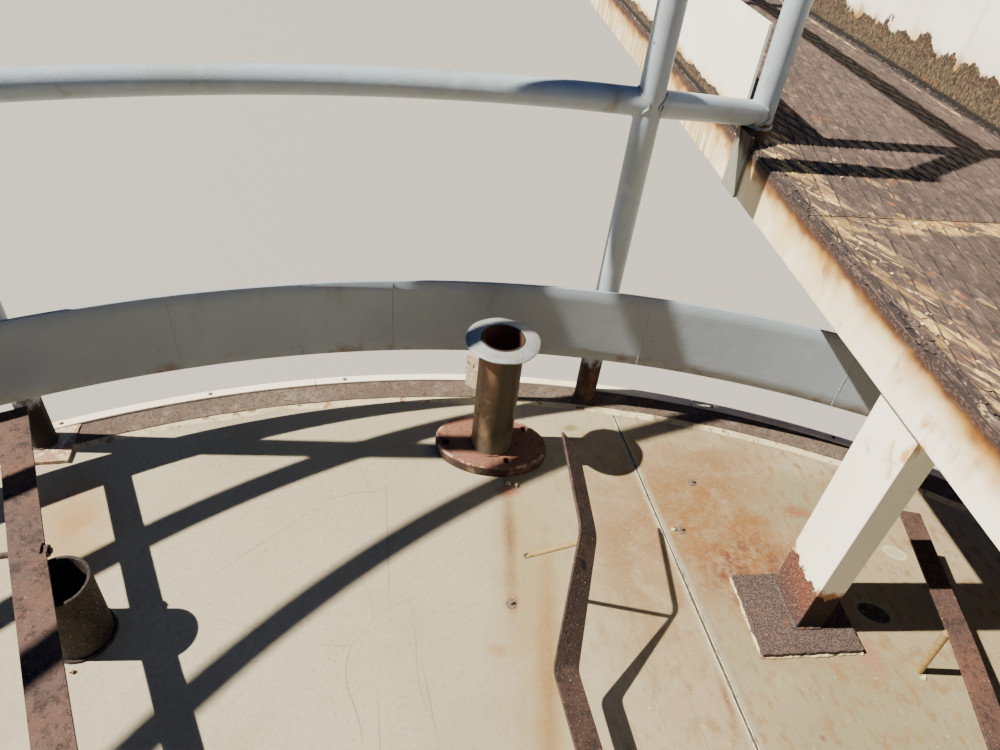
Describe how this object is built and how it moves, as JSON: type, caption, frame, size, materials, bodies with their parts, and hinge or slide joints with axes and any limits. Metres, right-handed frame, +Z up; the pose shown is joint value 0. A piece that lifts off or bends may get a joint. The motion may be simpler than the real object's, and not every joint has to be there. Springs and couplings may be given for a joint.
{
  "type": "vertical storage tank",
  "caption": "Upright round steel storage tank with flat roof, guard rail, vent nozzle and a raised walkway across the roof.",
  "frame": {"origin": "centre of the bottom plate, on the ground", "axes": "+Z up; +Y towards the side where the walkway leaves the roof; +X to the right of it"},
  "size_m": [4.102, 5.8457, 6.2288],
  "materials": {
    "shell_paint": "pale cream enamel over welded plate, chalked",
    "roof_paint": "beige-grey deck paint, worn, with rust streaks",
    "curb_rust": "thin paint worn through to brown-pink rust",
    "cream_paint": "cream-white enamel, rusting through at its edges",
    "toe_paint": "grey enamel, semi-gloss",
    "rail_paint": "light grey enamel on steel pipe",
    "deck_rust": "purple-brown rusted chequer plate with worn cream patches",
    "rusted_steel": "bare steel with a red-brown rust skin",
    "pipe_steel": "olive-brown rusted steel pipe",
    "galvanised": "dull zinc-coated steel"
  },
  "bodies": {
    "root": {"bottom_plate": "shell_paint", "manway_neck": "shell_paint", "manway_cover": "shell_paint", "outlet_nozzle": "shell_paint", "shell_lower_1": "shell_paint", "shell_lower_2": "shell_paint", "shell_middle_1": "shell_paint", "shell_middle_2": "shell_paint", "shell_upper_1": "shell_paint", "shell_upper_2": "shell_paint", "roof_sheet_left": "roof_paint", "roof_sheet_middle": "roof_paint", "roof_sheet_right": "roof_paint", "rim_curb": "curb_rust", "rim_strip": "cream_paint", "walkway_stringer_left": "cream_paint", "walkway_stringer_right": "cream_paint", "walkway_toe_left": "cream_paint", "walkway_toe_right": "cream_paint", "walkway_leg_left_1": "cream_paint", "walkway_leg_left_2": "cream_paint", "walkway_leg_right_1": "cream_paint", "walkway_leg_right_2": "cream_paint", "toe_plate_1": "toe_paint", "toe_plate_2": "toe_paint", "toe_plate_3": "toe_paint", "guard_bay_1": "rail_paint", "guard_bay_2": "rail_paint", "guard_bay_3": "rail_paint", "guard_bay_4": "rail_paint", "guard_bay_5": "rail_paint", "guard_bay_6": "rail_paint", "guard_bay_7": "rail_paint", "guard_bay_8": "rail_paint", "guard_bay_9": "rail_paint", "guard_bay_10": "rail_paint", "guard_post_last": "rail_paint", "top_rail_1": "rail_paint", "top_rail_2": "rail_paint", "top_rail_3": "rail_paint", "gate_frame_left": "rail_paint", "gate_frame_right": "rail_paint", "walkway_rail_left": "rail_paint", "walkway_rail_right": "rail_paint", "walkway_deck_1": "deck_rust", "walkway_deck_2": "deck_rust", "walkway_deck_3": "deck_rust", "nozzle_flange": "rusted_steel", "stub_pipe": "rusted_steel", "flat_bar_centre": "rusted_steel", "flat_bar_left": "rusted_steel", "flat_bar_right": "rusted_steel", "nozzle_pipe": "pipe_steel", "nozzle_collar": "galvanised"}
  },
  "joints": []
}
